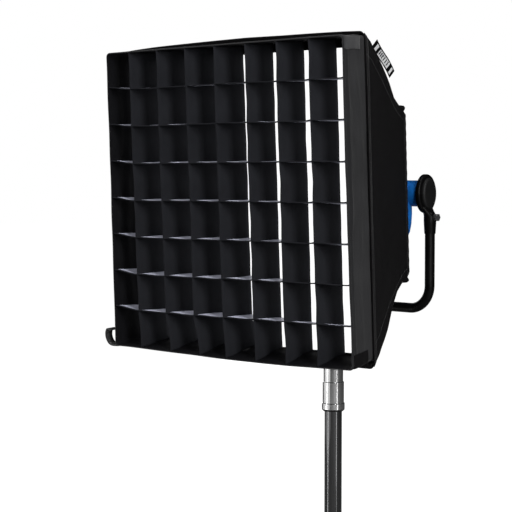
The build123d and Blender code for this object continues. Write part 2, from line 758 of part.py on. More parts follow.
def level_strip(z):
    """A strip with a slot from the front at each crossing."""
    body = Pos(0, 0, z) * slab(STRIP_FRONT, STRIP_BACK, INNER_W - 0.4, STRIP_T)
    for x in cell_lines(GRID_W):
        body -= Pos(x, 0, z) * slab(STRIP_FRONT, STRIP_MIDDLE + 0.2, SLOT_W, 2 * STRIP_T)
    return body


def grid_skirts():
    """The four outer strips: two upright ones, and two level ones between them."""
    y_rear = GRID_BACK - SKIN
    side = slab(GRID_FRONT, y_rear, SKIRT_T, GRID_H)
    level = slab(GRID_FRONT, y_rear, INNER_W, SKIRT_T)
    shift_x = (GRID_W - SKIRT_T) / 2
    shift_z = (GRID_H - SKIRT_T) / 2
    sides = [Pos(s * shift_x, 0, 0) * side for s in (-1, 1)]
    levels = [Pos(0, 0, s * shift_z) * level for s in (-1, 1)]
    return sides, levels


def grid_tabs():
    """A sewn patch at each front corner, and the curled webbing pull tab at the lower left."""
    depth, height = PATCH
    tabs = []
    for sx, sz in CORNERS:
        x = sx * (GRID_W / 2 + 0.5)
        z = sz * (GRID_H / 2 - height / 2 - 2)
        tabs.append(Pos(x, 0, z) * slab(GRID_FRONT + 2, GRID_FRONT + 2 + depth, 1, height))
    edge = -(GRID_W / 2)
    foot = -(GRID_H / 2)
    outer = [(edge, foot), (edge - 9, foot), (edge - 19, foot + 6), (edge - 25, foot + 17), (edge - 27, foot + 36)]
    inner = [(edge - 25, foot + 36), (edge - 23, foot + 18), (edge - 18, foot + 8), (edge - 9, foot + 2),
             (edge, foot + 2)]
    curl = Polyline(*[(x, 0, z) for x, z in outer + inner], close=True)
    tab = extrude(make_face(curl), amount=TAB_W, dir=(0, 1, 0))
    tabs.append(Pos(0, GRID_FRONT + 2, 0) * tab)
    return tabs


def build_grid():
    sides, levels = grid_skirts()
    save_head("grid_upright_strips", *[upright_strip(x) for x in cell_lines(GRID_W)])
    save_head("grid_level_strips", *[level_strip(z) for z in cell_lines(GRID_H)])
    save_head("grid_side_skirts", *sides)
    save_head("grid_end_skirts", *levels)
    save_head("grid_tabs", *grid_tabs())


build_riser()
build_yoke()
build_head()
build_bag()
build_grid()
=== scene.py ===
import json
import math

import bpy
import numpy as np
from mathutils import Matrix, Vector


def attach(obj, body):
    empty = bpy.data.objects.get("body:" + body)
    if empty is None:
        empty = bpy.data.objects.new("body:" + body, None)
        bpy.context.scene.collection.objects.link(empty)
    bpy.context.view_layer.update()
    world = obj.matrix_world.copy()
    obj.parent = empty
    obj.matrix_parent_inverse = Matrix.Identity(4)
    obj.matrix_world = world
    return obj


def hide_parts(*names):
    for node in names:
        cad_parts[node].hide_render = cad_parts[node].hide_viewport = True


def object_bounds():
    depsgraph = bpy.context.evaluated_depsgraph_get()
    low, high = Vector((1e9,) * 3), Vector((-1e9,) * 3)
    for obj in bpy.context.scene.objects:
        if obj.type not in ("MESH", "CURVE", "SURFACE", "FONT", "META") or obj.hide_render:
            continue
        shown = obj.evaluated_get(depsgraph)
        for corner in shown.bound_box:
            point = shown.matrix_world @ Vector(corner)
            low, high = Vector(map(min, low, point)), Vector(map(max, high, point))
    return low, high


# A square soft box with a fabric grid on an LED lamp head, its yoke and a short riser column.
# Metres. Fabric pieces are drawn in the level head frame, as in the part: x to the right, y from
# the light's front to its back, z up, with the tilt axis through the origin. to_row() places them.

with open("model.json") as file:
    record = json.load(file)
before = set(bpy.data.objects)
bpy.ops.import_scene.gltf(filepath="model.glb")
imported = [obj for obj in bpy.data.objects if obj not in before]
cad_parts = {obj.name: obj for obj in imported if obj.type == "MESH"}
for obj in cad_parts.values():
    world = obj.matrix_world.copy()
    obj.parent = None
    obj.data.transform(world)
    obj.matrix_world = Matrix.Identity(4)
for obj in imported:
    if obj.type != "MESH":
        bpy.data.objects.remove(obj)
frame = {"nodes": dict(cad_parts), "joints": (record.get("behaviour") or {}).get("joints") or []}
cad_low, cad_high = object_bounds()
NODES = frame["nodes"]
JOINTS = {joint["name"]: joint for joint in frame["joints"]}
PIVOT = np.array(JOINTS["tilt"]["pos_m"], float)
FORWARD = JOINTS["grid_pull_off"]["axis"]
DROOP = math.atan2(-FORWARD[2], -FORWARD[1])
TURN = np.array(Matrix.Rotation(DROOP, 3, "X"))
TAU = 2 * math.pi


def to_row(points):
    """Points of the level head frame, placed in the row frame."""
    return np.asarray(points, float) @ TURN.T + PIVOT


def level_points(node):
    """A CAD node's points in the level head frame."""
    points = np.array([vertex.co for vertex in NODES[node].data.vertices], float)
    return (points - PIVOT) @ TURN


def level_box(*nodes):
    points = np.vstack([level_points(node) for node in nodes])
    return points.min(0), points.max(0)


# ---- material helpers ---------------------------------------------------------------------
# Noise scales are in cells for each metre, bump depths in metres.
FUZZ_SCALE, DYE_SCALE = 900, 14  # loose fibres and uneven dye on cloth
PEEL_SCALE, CHIP_SCALE = 1400, 260  # orange peel and chipped edges on powder coat
BARS_ACROSS, BARS_UP = 160, 42  # a display's bars, for each metre


class Shader:
    """A material's node tree with short calls for the nodes used here."""

    def __init__(self, name, colour, roughness, specular=0.5, metallic=0.0):
        self.material = bpy.data.materials.new(name)
        self.material.use_nodes = True
        self.tree = self.material.node_tree
        self.surface = self.tree.nodes["Principled BSDF"]
        self.set("Base Color", (*colour, 1.0))
        self.set("Roughness", roughness)
        self.set("Specular IOR Level", specular)
        self.set("Metallic", metallic)
        self.normal = None

    def set(self, socket, value):
        self.surface.inputs[socket].default_value = value

    def link(self, source, target):
        self.tree.links.new(source, target)

    def node(self, kind, **settings):
        made = self.tree.nodes.new("ShaderNode" + kind)
        for key, value in settings.items():
            setattr(made, key, value)
        return made

    def place(self, kind="Object", scale=(1, 1, 1)):
        """Coordinates in metres, stretched by scale."""
        source = self.node("TexCoord").outputs[kind]
        mapping = self.node("Mapping")
        mapping.inputs["Scale"].default_value = scale
        self.link(source, mapping.inputs["Vector"])
        return mapping.outputs["Vector"]

    def axes(self, vector):
        made = self.node("SeparateXYZ")
        self.link(vector, made.inputs[0])
        return made.outputs

    def noise(self, vector, scale, detail=3.0, roughness=0.55):
        made = self.node("TexNoise")
        made.inputs["Scale"].default_value = scale
        made.inputs["Detail"].default_value = detail
        made.inputs["Roughness"].default_value = roughness
        self.link(vector, made.inputs["Vector"])
        return made.outputs["Fac"]

    def math(self, operation, first, second=None):
        made = self.node("Math", operation=operation)
        for socket, value in zip(made.inputs, (first, second)):
            if value is None:
                continue
            if isinstance(value, (int, float)):
                socket.default_value = value
            else:
                self.link(value, socket)
        return made.outputs[0]

    def sine(self, value, pitch):
        return self.math("SINE", self.math("MULTIPLY", value, TAU / pitch))

    def range(self, value, low_in, high_in, low_out, high_out):
        made = self.node("MapRange")
        for index, number in enumerate((low_in, high_in, low_out, high_out), 1):
            made.inputs[index].default_value = number
        self.link(value, made.inputs[0])
        return made.outputs[0]

    def mix(self, factor, first, second):
        """A colour between two, each a colour or a socket."""
        made = self.node("Mix", data_type="RGBA")
        for socket, value in zip((made.inputs[0], made.inputs[6], made.inputs[7]), (factor, first, second)):
            if isinstance(value, (int, float)):
                socket.default_value = value
            elif isinstance(value, tuple):
                socket.default_value = (*value, 1.0)
            else:
                self.link(value, socket)
        return made.outputs[2]

    def bump(self, height, distance, strength=1.0):
        made = self.node("Bump")
        made.inputs["Distance"].default_value = distance
        made.inputs["Strength"].default_value = strength
        self.link(height, made.inputs["Height"])
        if self.normal is not None:
            self.link(self.normal, made.inputs["Normal"])
        self.normal = made.outputs[0]

    def soft_edges(self, radius):
        """Rounds sharp edges in the shading, and returns a mask that is 1 along them."""
        bevel = self.node("Bevel", samples=4)
        bevel.inputs["Radius"].default_value = radius
        across = self.node("VectorMath", operation="DOT_PRODUCT")
        self.link(bevel.outputs[0], across.inputs[0])
        self.link(self.node("NewGeometry").outputs["Normal"], across.inputs[1])
        self.normal = bevel.outputs[0]
        return self.range(across.outputs["Value"], 0.98, 0.8, 0.0, 1.0)

    def done(self, colour=None, roughness=None):
        if colour is not None:
            self.link(colour, self.surface.inputs["Base Color"])
        if roughness is not None:
            self.link(roughness, self.surface.inputs["Roughness"])
        if self.normal is not None:
            self.link(self.normal, self.surface.inputs["Normal"])
        return self.material


def shade(colour, factor):
    return tuple(min(1.0, channel * factor) for channel in colour)


def cloth_material(name, colour, pitch, rough, specular, sheen, tint=(1.0, 1.0, 1.0), rib=0.0, depth=0.00012,
                   glow=0.0):
    """Woven cloth in the piece's own UV metres: over-and-under threads, fuzz and uneven dye.

    pitch is the distance between threads, and rib the distance between raised ribs, if it has any.
    """
    shader = Shader(name, colour, rough, specular)
    shader.set("Sheen Weight", sheen)
    shader.set("Sheen Roughness", 0.45)
    shader.set("Sheen Tint", (*tint, 1.0))
    uv = shader.place("UV")
    axes = shader.axes(uv)
    weave = shader.math("MULTIPLY", shader.sine(axes[0], pitch), shader.sine(axes[1], pitch))
    height = shader.range(weave, -1, 1, 0, 1)
    if rib:
        ribs = shader.sine(axes[1], rib)
        height = shader.math("ADD", height, shader.range(ribs, -1, 1, 0, 1.2))
    fuzz = shader.noise(uv, FUZZ_SCALE)
    height = shader.math("ADD", height, shader.math("MULTIPLY", fuzz, 0.5))
    shader.bump(height, depth)
    dye = shader.noise(uv, DYE_SCALE, 4)
    tone = shader.math("ADD", shader.math("MULTIPLY", dye, 0.7), shader.math("MULTIPLY", fuzz, 0.3))
    colours = shader.mix(shader.range(tone, 0.3, 0.7, 0, 1), shade(colour, 0.72), shade(colour, 1.3))
    threads = shader.range(weave, -1, 1, 0.0, 0.35)
    colours = shader.mix(threads, colours, shade(colour, 1.5))
    if glow:
        shader.set("Emission Color", (1.0, 1.0, 1.0, 1.0))
        shader.set("Emission Strength", glow)
    roughness = shader.range(dye, 0.3, 0.7, rough - 0.06, rough + 0.06)
    return shader.done(colours, roughness)


def webbing_material(name, colour):
    """Narrow woven webbing with a herringbone of raised ribs."""
    herringbone, rib_pitch, fuzz_scale = 0.004, 0.0016, 1200
    shader = Shader(name, colour, 0.7, 0.3)
    shader.set("Sheen Weight", 0.2)
    uv = shader.place("UV")
    axes = shader.axes(uv)
    zigzag = shader.math("PINGPONG", axes[1], herringbone)
    ribs = shader.sine(shader.math("ADD", axes[0], zigzag), rib_pitch)
    fuzz = shader.noise(uv, fuzz_scale)
    height = shader.math("ADD", shader.range(ribs, -1, 1, 0, 1), fuzz)
    shader.bump(height, 0.00025)
    colours = shader.mix(shader.range(ribs, -1, 1, 0, 1), shade(colour, 0.6), shade(colour, 1.7))
    return shader.done(colours)


def coat_material(name, colour, rough, wear, grain, specular):
    """Powder coat: fine orange peel, broad unevenness and a little wear on the edges."""
    shader = Shader(name, colour, rough, specular)
    edges = shader.soft_edges(0.0008)
    where = shader.place()
    peel = shader.noise(where, PEEL_SCALE, 2)
    broad = shader.noise(where, 35, 4)
    shader.bump(peel, grain)
    colours = shader.mix(shader.range(broad, 0.35, 0.65, 0, 1), shade(colour, 0.8), shade(colour, 1.2))
    chips = shader.range(shader.noise(where, CHIP_SCALE, 5), 0.56, 0.64, 0, 1)
    worn = shader.math("MULTIPLY", shader.math("MULTIPLY", edges, chips), 0.55)
    colours = shader.mix(worn, colours, wear)
    roughness = shader.range(broad, 0.3, 0.7, rough - 0.07, rough + 0.1)
    return shader.done(colours, roughness)


def plastic_material(name, colour, rough, grain, specular):
    """Moulded plastic with a spark-eroded grain, polished edges, and a painted highlight along them."""
    shader = Shader(name, colour, rough, specular)
    edges = shader.soft_edges(0.0006)
    where = shader.place()
    grains = shader.node("TexVoronoi")
    grains.inputs["Scale"].default_value = 1500
    shader.link(where, grains.inputs["Vector"])
    shader.bump(grains.outputs["Distance"], grain)
    broad = shader.noise(where, 45, 4)
    colours = shader.mix(shader.range(broad, 0.35, 0.65, 0, 1), shade(colour, 0.85), shade(colour, 1.2))
    # painted highlight: a lighter colour along the edges; the lower roughness below is the polish
    colours = shader.mix(shader.math("MULTIPLY", edges, 0.5), colours, shade(colour, 2.0))
    roughness = shader.math("SUBTRACT", shader.range(broad, 0.3, 0.7, rough - 0.05, rough + 0.08),
                            shader.math("MULTIPLY", edges, 0.15))
    return shader.done(colours, roughness)


TURNED, DRAWN, BRUSHED = (60, 60, 2500), (900, 900, 9), (1200, 20, 20)  # noise scales along x, y and z


def metal_material(name, colour, rough, stretch, streak, grain, smudge):
    """Turned, drawn or brushed metal: fine streaks across or along, smudges, and a painted highlight along
    the edges.
    """
    shader = Shader(name, colour, rough, 0.5, 1.0)
    edges = shader.soft_edges(0.0006)
    lines = shader.noise(shader.place("Object", stretch), 1.0, 3)
    smears = shader.noise(shader.place(), 28, 5, 0.65)
    shader.bump(lines, grain)
    darker, lighter = shade(colour, 1 - streak), shade(colour, 1 + streak)
    tone = shader.mix(shader.range(lines, 0.3, 0.7, 0, 1), darker, lighter)
    # painted highlight: a lighter colour along the rounded edges
    tone = shader.mix(shader.math("MULTIPLY", edges, 0.4), tone, shade(colour, 1.5))
    spread = shader.range(smears, 0.35, 0.7, rough, rough + smudge)
    fine = shader.range(lines, 0.3, 0.7, -0.04, 0.06)
    return shader.done(tone, shader.math("ADD", spread, fine))


def board_material():
    """Green solder mask with copper tracks showing through."""
    base = (0.012, 0.075, 0.035)
    shader = Shader("circuit_board", base, 0.35, 0.5)
    where = shader.place("Object", (140, 140, 140))
    tracks = shader.node("TexBrick")
    tracks.inputs["Scale"].default_value = 1.0
    tracks.inputs["Mortar Size"].default_value = 0.06
    shader.link(where, tracks.inputs["Vector"])
    shader.bump(tracks.outputs["Fac"], 0.00004)
    colours = shader.mix(tracks.outputs["Fac"], base, (0.03, 0.16, 0.06))
    return shader.done(colours)


def emitter_material(name, colour, strength):
    """A lit face with a slight grain."""
    shader = Shader(name, colour, 0.5, 0.5)
    where = shader.place()
    grain = shader.noise(where, 700, 2)
    shader.bump(grain, 0.00005)
    shader.set("Emission Color", (1.0, 0.99, 0.97, 1.0))
    shader.set("Emission Strength", strength)
    colours = shader.mix(shader.range(grain, 0.3, 0.7, 0, 1), shade(colour, 0.92), shade(colour, 1.05))
    return shader.done(colours)


def window_material():
    """Smoked window over a dim display with plain level bars."""
    smoke, lit = (0.006, 0.008, 0.011), (0.05, 0.2, 0.3)
    shader = Shader("window", smoke, 0.12, 0.5)
    shader.set("Coat Weight", 0.6)
    shader.set("Coat Roughness", 0.05)
    where = shader.place()
    axes = shader.axes(where)
    across = shader.math("FRACT", shader.math("MULTIPLY", axes[0], BARS_ACROSS))
    upward = shader.math("FRACT", shader.math("MULTIPLY", axes[2], BARS_UP))
    columns = shader.math("GREATER_THAN", across, 0.35)
    level = shader.math("LESS_THAN", upward, 0.5)
    bars = shader.math("MULTIPLY", columns, level)
    smear = shader.noise(where, 60, 4)
    shader.bump(smear, 0.00003)
    colours = shader.mix(shader.math("MULTIPLY", bars, 0.5), smoke, lit)
    return shader.done(colours, shader.range(smear, 0.3, 0.7, 0.08, 0.22))


COATS = {  # colour, roughness, colour where it is worn, depth of grain, specular
    "blue_paint": ((0.0035, 0.095, 0.34), 0.42, (0.2, 0.24, 0.3), 0.00006, 0.4),
    "black_paint": ((0.0022, 0.0021, 0.0022), 0.32, (0.04, 0.04, 0.04), 0.0001, 0.1),
}
METALS = {  # colour, roughness, streaks' noise scales, their contrast and depth, smudges
    "chrome": ((0.66, 0.66, 0.66), 0.13, DRAWN, 0.12, 0.00001, 0.08),
    "dark_column": ((0.13, 0.13, 0.132), 0.05, DRAWN, 0.2, 0.00001, 0.05),
    "steel": ((0.42, 0.42, 0.43), 0.3, TURNED, 0.25, 0.00002, 0.12),
    "aluminium": ((0.62, 0.63, 0.64), 0.38, BRUSHED, 0.25, 0.00002, 0.12),
}
PLASTICS = {  # colour, roughness, depth of grain, specular
    "rubber": ((0.011, 0.011, 0.011), 0.8, 0.00012, 0.25),
    "black_plastic": ((0.0048, 0.0048, 0.005), 0.5, 0.00008, 0.2),
    "fibre_rod": ((0.016, 0.016, 0.016), 0.28, 0.00003, 0.5),
    "white_plastic": ((0.86, 0.86, 0.85), 0.5, 0.00005, 0.4),
    "friction_fibre": ((0.12, 0.07, 0.04), 0.8, 0.0002, 0.2),
}
EMITTERS = {"diffuser_panel": ((0.86, 0.86, 0.85), 1.4), "led": ((0.8, 0.66, 0.2), 2.0)}  # colour, strength
FINISH = {"circuit_board": board_material(), "window": window_material()}
for make, table in ((coat_material, COATS), (metal_material, METALS), (plastic_material, PLASTICS),
                    (emitter_material, EMITTERS)):
    FINISH.update({name: make(name, *values) for name, values in table.items()})

CLOTH_BLACK = (0.0027, 0.0024, 0.0028)
BAG_OUT = cloth_material("bag_fabric", CLOTH_BLACK, pitch=0.0009, rough=0.8, specular=0.04, sheen=0.01,
                         rib=0.0028, depth=0.0002)
BAG_HEM = cloth_material("bag_hem_tape", CLOTH_BLACK, pitch=0.0012, rough=0.7, specular=0.08, sheen=0.03)
BAG_IN = cloth_material("bag_lining", (0.78, 0.79, 0.8), pitch=0.0012, rough=0.4, specular=0.5, sheen=0.1)
DULL = {"pitch": 0.0007, "rough": 0.6, "specular": 0.012, "sheen": 0.0}
GRID_CLOTH = cloth_material("grid_fabric", (0.0140, 0.0145, 0.0170), **DULL)
# The level strips' copy of the grid fabric, lighter and with a lavender sheen tint: painted light on their
# tops
LIT_SATIN_CLOTH = cloth_material("grid_fabric_satin_painted_lit", (0.040, 0.040, 0.048), pitch=0.0007, rough=0.3,
                             specular=0.7, sheen=0.65, tint=(0.80, 0.82, 1.0), depth=0.00002)
# The skirt's inner face: the grid fabric made darker, painted shade inside the border cells
SHADED_SKIRT_INSIDE = cloth_material("skirt_inside_painted_shade", (0.006, 0.006, 0.007), **DULL)
# The upper corner patches' webbing, made lighter: painted sheen
SHEEN_PATCH_WEBBING = webbing_material("patch_webbing_painted_sheen", (0.019, 0.019, 0.0205))
SKIRT_CLOTH = cloth_material("skirt_fabric", (0.0175, 0.0175, 0.0185), pitch=0.0009, rough=0.65,
                             specular=0.2, sheen=0.08)
HEM_CLOTH = cloth_material("hem_tape", (0.0125, 0.0125, 0.0135), pitch=0.0011, rough=0.7,
                           specular=0.12, sheen=0.06)
WHITE_CLOTH = cloth_material("diffuser_cloth", (0.9, 0.9, 0.9), pitch=0.0008, rough=0.85,
                             specular=0.2, sheen=0.0, glow=1.05)
WEBBING = webbing_material("webbing", (0.014, 0.014, 0.015))
THREAD = cloth_material("thread", (0.022, 0.022, 0.024), pitch=0.0004, rough=0.6, specular=0.35, sheen=0.2)
LABEL_BLACK = cloth_material("label_black", (0.0025, 0.0025, 0.003), pitch=0.0005, rough=0.7,
                             specular=0.08, sheen=0.0)
LABEL_PALE = cloth_material("label_pale", (0.80, 0.82, 0.86), pitch=0.0005, rough=0.65,
                            specular=0.3, sheen=0.2)

for node in NODES.values():
    for material_slot in node.material_slots:
        if material_slot.material.name in FINISH:
            material_slot.material = FINISH[material_slot.material.name]


# ---- mesh helpers -------------------------------------------------------------------------
def add_piece(name, points, faces, uvs, materials, indices=None):
    """A smooth mesh object made of level-frame points. uvs holds one pair for each point."""
    mesh = bpy.data.meshes.new(name)
    mesh.from_pydata([tuple(point) for point in to_row(points)], [], [tuple(face) for face in faces])
    for material in materials:
        mesh.materials.append(material)
    if indices is not None:
        mesh.polygons.foreach_set("material_index", np.asarray(indices, np.int32))
    layer = mesh.uv_layers.new(name="cloth")
    corners = np.zeros(len(mesh.loops), np.int32)
    mesh.loops.foreach_get("vertex_index", corners)
    layer.data.foreach_set("uv", np.asarray(uvs, np.float32)[corners].ravel())
    mesh.polygons.foreach_set("use_smooth", np.full(len(mesh.polygons), True))
    mesh.update()
    piece = bpy.data.objects.new(name, mesh)
    bpy.context.scene.collection.objects.link(piece)
    return piece


def grid_normals(points, wrap):
    """Unit normals of a grid of points, rows by columns."""
    if wrap:
        across = np.roll(points, -1, 1) - np.roll(points, 1, 1)
    else:
        across = np.gradient(points, axis=1)
    normals = np.cross(across, np.gradient(points, axis=0))
    return normals / np.maximum(np.linalg.norm(normals, axis=2, keepdims=True), 1e-12)


def run_lengths(points, axis):
    """Distance along a grid of points in one direction, from its first row or column."""
    steps = np.linalg.norm(np.diff(points, axis=axis), axis=2)
    pad = [(0, 0), (0, 0)]
    pad[axis] = (1, 0)
    return np.pad(np.cumsum(steps, axis=axis), pad)


def grid_faces(rows, columns, wrap, flip=False, start=0):
    """Quads of a grid of points, with the last column joined to the first if it wraps."""
    last = columns if wrap else columns - 1
    faces = []
    for row in range(rows - 1):
        for column in range(last):
            beside = (column + 1) % columns
            quad = [row * columns + column, row * columns + beside,
                    (row + 1) * columns + beside, (row + 1) * columns + column]
            faces.append([start + corner for corner in (quad[::-1] if flip else quad)])
    return faces


def rim(rows, columns, wrap):
    """The border of a grid of points, as runs of indices."""
    first = list(range(columns))
    final = [(rows - 1) * columns + column for column in range(columns)]
    if wrap:
        return [first + first[:1], (final + final[:1])[::-1]]
    left = [row * columns for row in range(rows)]
    right = [row * columns + columns - 1 for row in range(rows)]
    return [first, right, final[::-1], left[::-1]]


def cloth_piece(name, middle, thickness, materials, wrap=False, hems=None):
    """A closed sheet of cloth round a grid of middle points, with UVs in metres.

    thickness is a number, or one for each point. materials holds the front's, the back's, the hem's
    and the back of the hem's if that differs. hems marks the rows of faces that are hem.
    """
    rows, columns = middle.shape[:2]
    half = np.broadcast_to(np.asarray(thickness, float), (rows, columns))[..., None] / 2
    normals = grid_normals(middle, wrap)
    count = rows * columns
    points = np.vstack([(middle + normals * half).reshape(-1, 3), (middle - normals * half).reshape(-1, 3)])
    u = run_lengths(middle, 1).mean(0)
    v = run_lengths(middle, 0).mean(1)
    uv = np.stack(np.meshgrid(u, v), axis=2).reshape(-1, 2)
    front = grid_faces(rows, columns, wrap)
    back = grid_faces(rows, columns, wrap, flip=True, start=count)
    edges = []
    for run in rim(rows, columns, wrap):
        edges += [[a, a + count, b + count, b] for a, b in zip(run, run[1:])]
    last = columns if wrap else columns - 1
    front_index = np.zeros(len(front), int)
    back_index = np.ones(len(back), int)
    if hems is not None:
        marked = np.repeat(np.asarray(hems, bool), last)
        front_index[marked] = 2
        back_index[marked] = len(materials) - 1
    indices = np.concatenate([front_index, back_index, np.zeros(len(edges), int)])
    return add_piece(name, points, front + back + edges, np.vstack([uv, uv]), materials, indices)


def paint_faces(piece, marks, index, edges=False):
    """Gives a sheet's faces a material on both sides, where marks is true, and its edges too if asked."""
    flat = marks.ravel()
    slots = np.zeros(len(piece.data.polygons), np.int32)
    piece.data.polygons.foreach_get("material_index", slots)
    slots[:len(flat)][flat] = index
    slots[len(flat):2 * len(flat)][flat] = index
    if edges:
        slots[2 * len(flat):] = index
    piece.data.polygons.foreach_set("material_index", slots)
    return piece


def ripple(u, v, seed, reach=2.0):
    """A smooth uneven field about -1 to 1, the same each time."""
    terms = 7
    random = np.random.default_rng(seed)
    total = np.zeros(np.broadcast(u, v).shape)
    for _ in range(terms):
        turns_u, turns_v = random.uniform(-reach, reach, 2)
        total += np.sin(TAU * (turns_u * u + turns_v * v) + random.uniform(0, TAU))
    return total / math.sqrt(terms)


def smooth_step(value, low, high):
    share = np.clip((value - low) / (high - low), 0, 1)
    return share * share * (3 - 2 * share)


def rounded_loop(half_w, half_h, radius, per_side, per_corner):
    """Points round a rectangle with rounded corners, as x, z pairs, and the outward directions."""
    points, outward = [], []
    corners = ((1, 1, 0), (-1, 1, 90), (-1, -1, 180), (1, -1, 270))
    for index, (sx, sz, turn) in enumerate(corners):
        centre = np.array([sx * (half_w - radius), sz * (half_h - radius)])
        for step in range(per_corner):
            angle = math.radians(turn + 90 * step / (per_corner - 1))
            away = np.array([math.cos(angle), math.sin(angle)])
            points.append(centre + radius * away)
            outward.append(away)
        nx, nz, _ = corners[(index + 1) % 4]
        target = np.array([nx * (half_w - radius), nz * (half_h - radius)])
        away = np.array([math.cos(math.radians(turn + 90)), math.sin(math.radians(turn + 90))])
        start, end = centre + radius * away, target + radius * away
        for step in range(1, per_side):
            points.append(start + (end - start) * step / per_side)
            outward.append(away)
    return np.array(points), np.array(outward)


def tube_piece(name, path, radius, material):
    """A round cord of fabric along an open path of level-frame points."""
    sides = 8
    path = np.asarray(path, float)
    along = np.gradient(path, axis=0)
    along /= np.linalg.norm(along, axis=1, keepdims=True)
    guide = np.array([0.31, 0.83, 0.46])  # no seam runs this way
    side = np.cross(along, guide)
    side /= np.linalg.norm(side, axis=1, keepdims=True)
    up = np.cross(along, side)
    turns = np.arange(sides) * TAU / sides
    ring = side[:, None] * np.cos(turns)[None, :, None] + up[:, None] * np.sin(turns)[None, :, None]
    points = path[:, None] + ring * radius
    rows = len(path)
    faces = grid_faces(rows, sides, True, flip=True)
    faces += [list(range(sides)), [(rows - 1) * sides + k for k in range(sides)][::-1]]
    uv = np.stack(np.meshgrid(turns * 0.001, np.arange(rows) * 0.002), axis=2).reshape(-1, 2)
    return add_piece(name, points.reshape(-1, 3), faces, uv, [material])


THREAD_R, THREAD_SIDES = 0.00032, 5
STITCH_SHAPE = ((0.0, 0.35), (0.25, 1.0), (0.75, 1.0), (1.0, 0.35))  # shares of its length and radius


def stitch_piece(name, runs, pitch, length):
    """Sewn thread: short dashes along runs of (path, outward normals)."""
    points, faces, uvs = [], [], []
    turns = np.arange(THREAD_SIDES) * TAU / THREAD_SIDES
    for path, normals in runs:
        path, normals = np.asarray(path, float), np.asarray(normals, float)
        lengths = np.concatenate([[0], np.cumsum(np.linalg.norm(np.diff(path, axis=0), axis=1))])
        for start in np.arange(pitch / 2, lengths[-1] - length, pitch):
            base = len(points)
            for share, swell in STITCH_SHAPE:
                at = start + length * share
                centre = np.array([np.interp(at, lengths, path[:, k]) for k in range(3)])
                out = np.array([np.interp(at, lengths, normals[:, k]) for k in range(3)])
                ahead = np.array([np.interp(at + 1e-4, lengths, path[:, k]) for k in range(3)]) - centre
                ahead /= np.linalg.norm(ahead) + 1e-12
                side = np.cross(ahead, out)
                heart = centre + out * THREAD_R * (0.9 if 0 < share < 1 else -0.2)
                points += [heart + THREAD_R * swell * (math.cos(turn) * side + math.sin(turn) * out)
                           for turn in turns]
                uvs += [(start, turn * THREAD_R) for turn in turns]
            faces += grid_faces(len(STITCH_SHAPE), THREAD_SIDES, True, flip=True, start=base)
            final = base + (len(STITCH_SHAPE) - 1) * THREAD_SIDES
            faces += [[base + k for k in range(THREAD_SIDES)], [final + k for k in range(THREAD_SIDES)][::-1]]
    return add_piece(name, np.array(points), faces, uvs, [THREAD])


# ---- grid ---------------------------------------------------------------------------------
grid_low, grid_high = level_box("grid_side_skirts", "grid_end_skirts")
strip_low, strip_high = level_box("grid_upright_strips")
GRID_W, GRID_H = grid_high[0] - grid_low[0], grid_high[2] - grid_low[2]
GRID_D, STRIP_D = grid_high[1] - grid_low[1], strip_high[1] - strip_low[1]
CELLS = 8
STRIP_T = 0.0012
HEM_T = 0.0024  # a level strip's bound front edge
SKIRT_T = 0.002
EDGE_IN = 0.0022  # from the skirt's outer face to an upright strip's end
SIDE_IN = 0.0034  # and to a level strip's, where the skirt is folded
TURN_CELLS = (4.4, 6.4)  # the cells over which the level strips turn edge-on to the photograph's view
# Each upright strip, from the left: how far its front and rear stand aside, and those of its lower end
WALL_FRONT = (-0.0058, -0.0050, -0.0043, -0.0035, -0.0010, -0.0008, 0.0004)
WALL_REAR = (-0.0008, 0.0020, 0.0047, 0.0019, 0.0011, 0.0009, 0.0023)
LOWER_LEAN = (0.003, 0.011, 0.012, 0.005, 0.002, 0.001, 0.0)
LOWER_REAR = (0.0, 0.0, 0.002, 0.0065, 0.0, 0.0, 0.0)
# Each level strip, from the lowest: how far its rear edge dips at the left, and how it turns at the right
LEFT_DIP = (0.0045, 0.0030, 0.0024, 0.0022, 0.0012, 0.0004, 0.0)
RIGHT_TURN = (0.0115, 0.0115, 0.0105, 0.0085, 0.0062, 0.0040, 0.0020)


def front_lift(u):
    """How far the rods carry the front of the bag and grid up, from the left (-1) to the right."""
    return 0.004 + 0.003 * u


def grid_hang(points):
    """Points of the level grid moved as its cloth hangs: lifted at the right, sagging below."""
    points = np.asarray(points, float)
    x, y, z = points[..., 0], points[..., 1], points[..., 2]
    u, w = 2 * x / GRID_W, 2 * z / GRID_H
    forward = np.clip((grid_high[1] - y) / GRID_D, 0, 1)
    low = smooth_step(-w, 0.8, 1.0)
    sag = np.interp(u, (-1, -0.88, -0.46, 0, 0.5, 1), (0.002, 0.002, 0.0053, 0.0084, 0.009, 0.0062))
    drop = low * (sag * smooth_step(forward, 0.2, 1.0) - 0.006 * (1 - u ** 4) * (1 - forward))
    pinch = np.interp(w, (-1, 0, 1), (-0.0018, 0.003, 0.006)) * smooth_step(-u, 0.78, 1.0)
    flare = np.interp(w, (-1, 0, 1), (0.007, 0.0045, 0.0035)) * smooth_step(u, 0.78, 1.0)
    return np.stack([x + (pinch + flare) * forward, y, z + front_lift(u) - drop], axis=-1)


def by_cell(cell, random, low, high):
    """A random value for each cell, blended from one cell's middle to the next."""
    return np.interp(cell, np.arange(CELLS) + 0.5, random.uniform(low, high, CELLS))


